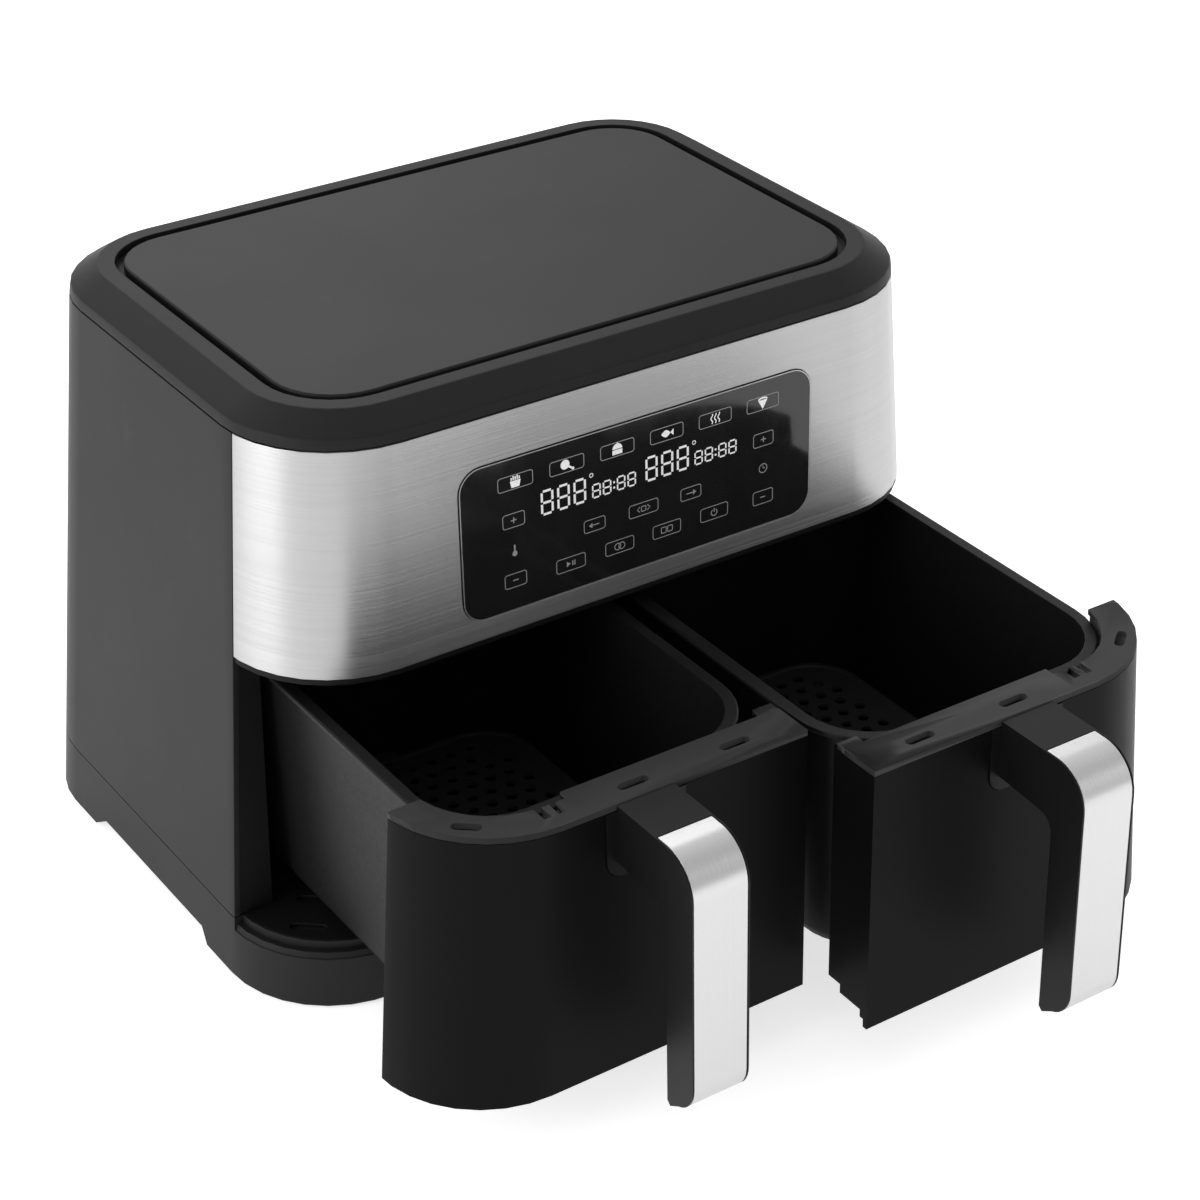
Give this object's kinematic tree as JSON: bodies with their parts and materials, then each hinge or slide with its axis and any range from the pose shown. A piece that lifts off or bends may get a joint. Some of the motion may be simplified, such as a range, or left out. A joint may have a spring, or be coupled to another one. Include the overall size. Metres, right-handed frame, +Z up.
{
  "type": "air fryer",
  "caption": "Dual-basket worktop air fryer with a tapered charcoal body, steel front band, touch panel and pull-out drawers with pans and crisper plates.",
  "frame": {"origin": "centre of the footprint of the whole part, drawers as they stand open, on the worktop", "axes": "+X to the fryer's own left-to-right as seen from the front, +Y from the drawers to the back wall, +Z up"},
  "size_m": [0.3802, 0.494, 0.2861],
  "materials": {
    "body_plastic": "fine-textured charcoal moulding",
    "lid_plastic": "fine-textured charcoal inlay",
    "black_plastic": "black moulding",
    "band_steel": "horizontally brushed, satin",
    "panel_black": "gloss black touch panel with printed symbols",
    "circuit_board": "green board with components",
    "rubber_feet": "matt black",
    "liner_sheet": "plain sheet",
    "heater_steel": "heat-darkened tube",
    "motor_metal": "plain metal",
    "drawer_plastic": "matt black moulding",
    "handle_steel": "satin strip",
    "nonstick": "dark non-stick coating",
    "screw_steel": "plated",
    "silicone": "soft black silicone"
  },
  "bodies": {
    "housing": {"base_tray": "body_plastic", "bay_floor": "black_plastic", "outer_shell": "body_plastic", "rear_grille": "black_plastic", "cord_inlet": "black_plastic", "front_frame": "black_plastic", "front_band": "band_steel", "control_panel": "panel_black", "display_board": "circuit_board", "top_cover": "body_plastic", "top_panel": "lid_plastic", "power_board": "circuit_board", "foot_front_left": "rubber_feet", "foot_front_right": "rubber_feet", "foot_back_left": "rubber_feet", "foot_back_right": "rubber_feet", "left_bay_liner": "liner_sheet", "left_heater": "heater_steel", "left_heater_guard": "liner_sheet", "left_fan_motor": "motor_metal", "right_bay_liner": "liner_sheet", "right_heater": "heater_steel", "right_heater_guard": "liner_sheet", "right_fan_motor": "motor_metal"},
    "left_drawer": {"left_drawer_front": "drawer_plastic", "left_drawer_frame": "drawer_plastic", "left_handle": "drawer_plastic", "left_handle_trim": "handle_steel", "left_pan": "nonstick", "left_handle_screw_1": "screw_steel", "left_handle_screw_2": "screw_steel", "left_pan_screw_1": "screw_steel", "left_pan_screw_2": "screw_steel"},
    "left_crisper": {"left_crisper_plate": "nonstick", "left_bumper_inner": "silicone", "left_bumper_outer": "silicone", "left_bumper_front": "silicone", "left_bumper_back": "silicone"},
    "left_fan": {"left_fan_wheel": "motor_metal"},
    "right_drawer": {"right_drawer_front": "drawer_plastic", "right_drawer_frame": "drawer_plastic", "right_handle": "drawer_plastic", "right_handle_trim": "handle_steel", "right_pan": "nonstick", "right_handle_screw_1": "screw_steel", "right_handle_screw_2": "screw_steel", "right_pan_screw_1": "screw_steel", "right_pan_screw_2": "screw_steel"},
    "right_crisper": {"right_crisper_plate": "nonstick", "right_bumper_inner": "silicone", "right_bumper_outer": "silicone", "right_bumper_front": "silicone", "right_bumper_back": "silicone"},
    "right_fan": {"right_fan_wheel": "motor_metal"}
  },
  "joints": [
    {"name": "left_drawer_slide", "type": "slide", "parent": "housing", "child": "left_drawer", "axis": [0, -1, 0], "range_m": [-0.1277, 0.0473]},
    {"name": "left_crisper_lift", "type": "slide", "parent": "left_drawer", "child": "left_crisper", "axis": [0, 0, 1], "range_m": [0, 0.09]},
    {"name": "left_fan_spin", "type": "hinge", "parent": "housing", "child": "left_fan", "pos_m": [-0.084, 0.11127, 0.1931], "axis": [0, 0, 1], "continuous": true},
    {"name": "right_drawer_slide", "type": "slide", "parent": "housing", "child": "right_drawer", "axis": [0, -1, 0], "range_m": [-0.1674, 0.0076]},
    {"name": "right_crisper_lift", "type": "slide", "parent": "right_drawer", "child": "right_crisper", "axis": [0, 0, 1], "range_m": [0, 0.09]},
    {"name": "right_fan_spin", "type": "hinge", "parent": "housing", "child": "right_fan", "pos_m": [0.084, 0.11127, 0.1931], "axis": [0, 0, 1], "continuous": true}
  ]
}
